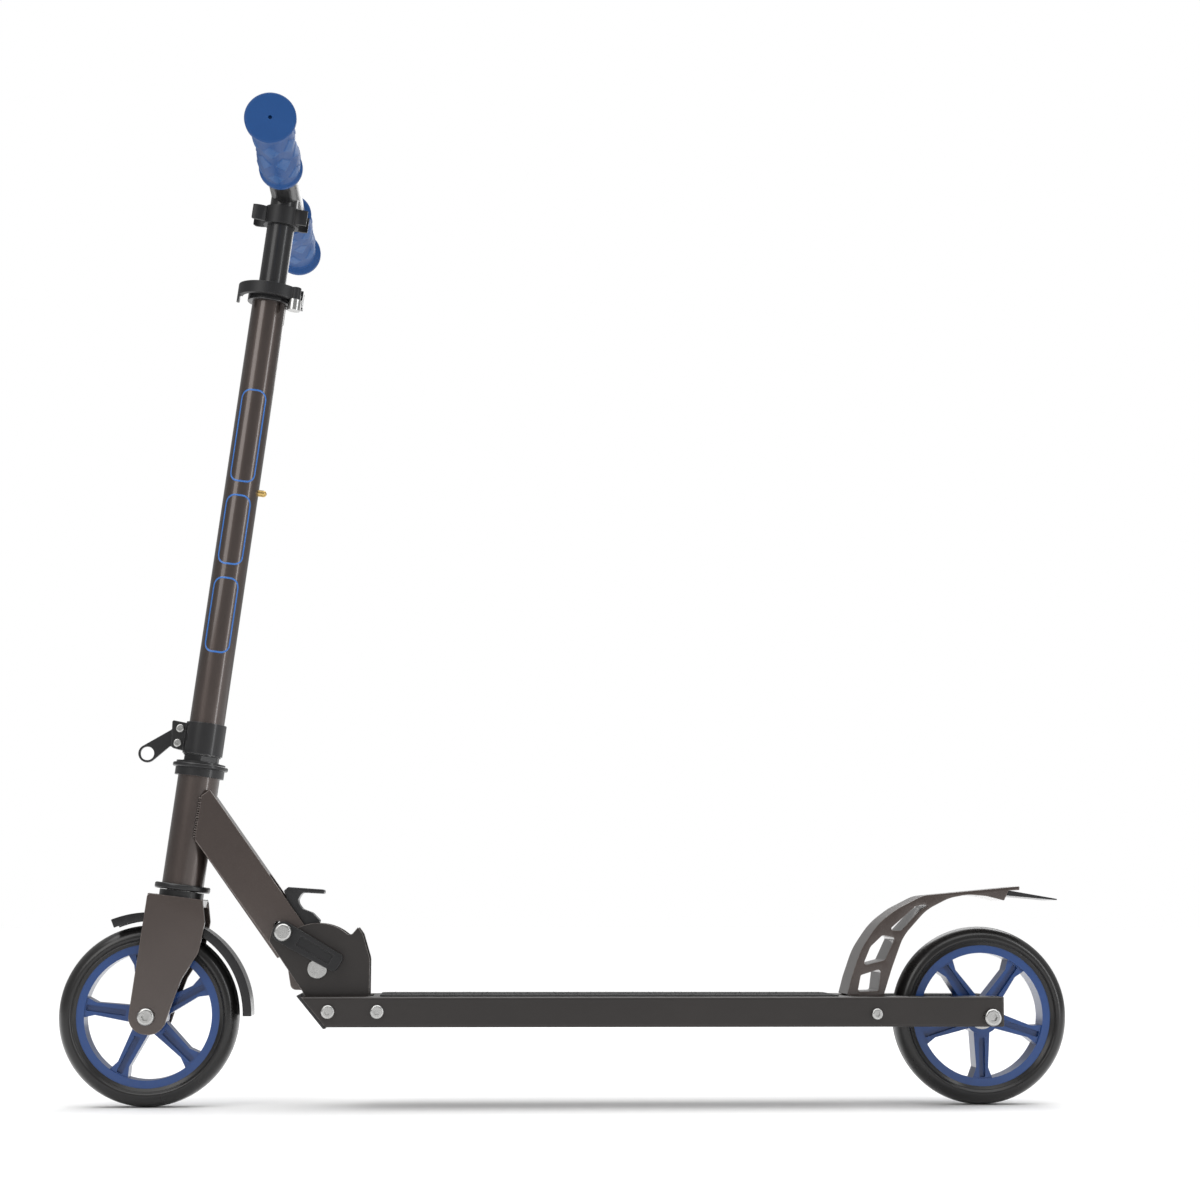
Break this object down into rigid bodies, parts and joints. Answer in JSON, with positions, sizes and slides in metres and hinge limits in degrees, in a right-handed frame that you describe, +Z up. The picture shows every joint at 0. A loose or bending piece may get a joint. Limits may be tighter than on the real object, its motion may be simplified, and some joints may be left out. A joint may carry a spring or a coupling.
{
  "type": "folding kick scooter",
  "caption": "Folding kick scooter with spoked wheels, a folding neck, an adjustable handlebar with pull-out handles, a strap eye and a rear fender brake.",
  "frame": {"origin": "on the floor, midway between the two wheels, on the middle plane", "axes": "+Z up, +X towards the rear wheel, so that the scooter rides towards -X, and +Y towards the rider's right hand"},
  "size_m": [0.8252, 0.38, 0.7843],
  "materials": {
    "bronze_paint": "satin dark bronze metallic paint",
    "deck_paint": "satin near-black bronze paint",
    "black_metal": "semi-gloss black paint",
    "steel": "zinc-plated steel",
    "chrome": "bright chrome",
    "brass": "yellow zinc or brass",
    "blue_rim": "blue moulded rim",
    "tyre": "black polyurethane, polished sides",
    "blue_grip": "soft blue rubber",
    "black_plastic": "black moulded plastic",
    "grip_tape": "black grit sheet"
  },
  "bodies": {
    "deck": {"deck": "deck_paint", "grip_tape": "grip_tape", "deck_front_cap": "black_metal", "fold_plate_left": "deck_paint", "fold_plate_right": "deck_paint", "bracket_spacers": "steel", "bracket_bolts": "steel", "deck_cap_nuts": "steel", "brake_pivot_bolt": "steel", "rear_axle_bolt": "steel", "rear_axle_spacers": "steel", "fold_pivot_bolt": "steel", "brake_spring": "steel"},
    "rear_wheel": {"rear_tyre": "tyre", "rear_rim": "blue_rim", "rear_bearings": "steel", "rear_bearing_sleeve": "steel"},
    "brake": {"brake_fender": "bronze_paint", "fender_tail": "black_metal"},
    "neck": {"neck": "bronze_paint", "head_tube": "bronze_paint", "lower_cup": "black_metal", "upper_cup": "black_metal", "headset_bearings": "steel", "pivot_sleeve": "steel"},
    "latch": {"release_hook": "black_metal", "lock_bolt": "steel", "lock_nuts": "steel", "lock_washers": "steel"},
    "lock_lever": {"lock_lever": "black_plastic"},
    "steering": {"fork": "bronze_paint", "steerer": "steel", "crown_race": "black_metal", "headset_nut": "black_metal", "front_axle_bolt": "steel", "front_axle_spacers": "steel", "front_fender": "black_plastic", "fender_screw": "steel", "stem_tube": "bronze_paint", "guide_pin": "brass", "height_bush": "black_plastic", "height_clamp": "black_metal", "height_clamp_bolt": "steel", "cam_barrel": "steel", "stem_clamp": "black_metal", "strap_eye": "black_metal", "stem_clamp_bolts": "steel"},
    "front_wheel": {"front_tyre": "tyre", "front_rim": "blue_rim", "front_bearings": "steel", "front_bearing_sleeve": "steel"},
    "height_lever": {"height_lever": "black_plastic"},
    "handlebar": {"bar_post": "black_metal", "cross_tube": "black_metal", "grip_clip": "black_plastic"},
    "handle_left": {"handle_tube_left": "chrome", "grip_left": "blue_grip"},
    "handle_right": {"handle_tube_right": "chrome", "grip_right": "blue_grip"}
  },
  "joints": [
    {"name": "fold", "type": "hinge", "parent": "deck", "child": "neck", "pos_m": [-0.2045, 0, 0.1105], "axis": [0, 1, 0], "range_deg": [0, 83]},
    {"name": "lock_release", "type": "slide", "parent": "neck", "child": "latch", "axis": [-0.6858, 0, 0.7278], "range_m": [0, 0.007], "stiffness_N_per_m": 600, "springref_m": -0.004},
    {"name": "lock_lever_turn", "type": "hinge", "parent": "latch", "child": "lock_lever", "pos_m": [-0.23193, 0, 0.13961], "axis": [0, -1, 0], "range_deg": [0, 90]},
    {"name": "steer", "type": "hinge", "parent": "neck", "child": "steering", "pos_m": [-0.32908, 0, 0.07116], "axis": [0.1219, 0, 0.9925], "continuous": true},
    {"name": "front_wheel_spin", "type": "hinge", "parent": "steering", "child": "front_wheel", "pos_m": [-0.34, 0, 0.0725], "axis": [0, 1, 0], "continuous": true},
    {"name": "rear_wheel_spin", "type": "hinge", "parent": "deck", "child": "rear_wheel", "pos_m": [0.34, 0, 0.0725], "axis": [0, 1, 0], "continuous": true},
    {"name": "brake_press", "type": "hinge", "parent": "deck", "child": "brake", "pos_m": [0.2458, 0, 0.0753], "axis": [0, 1, 0], "range_deg": [0, 13], "stiffness_Nm_per_rad": 6, "springref_deg": -6.88},
    {"name": "height_slide", "type": "slide", "parent": "steering", "child": "handlebar", "axis": [0.1219, 0, 0.9925], "range_m": [-0.04, 0.1]},
    {"name": "height_lever_swing", "type": "hinge", "parent": "steering", "child": "height_lever", "pos_m": [-0.23296, -0.0165, 0.6694], "axis": [0.1219, 0, 0.9925], "range_deg": [0, 110]},
    {"name": "handle_pull_left", "type": "slide", "parent": "handlebar", "child": "handle_left", "axis": [0, -1, 0], "range_m": [0, 0.045]},
    {"name": "handle_pull_right", "type": "slide", "parent": "handlebar", "child": "handle_right", "axis": [0, 1, 0], "range_m": [0, 0.045]}
  ]
}
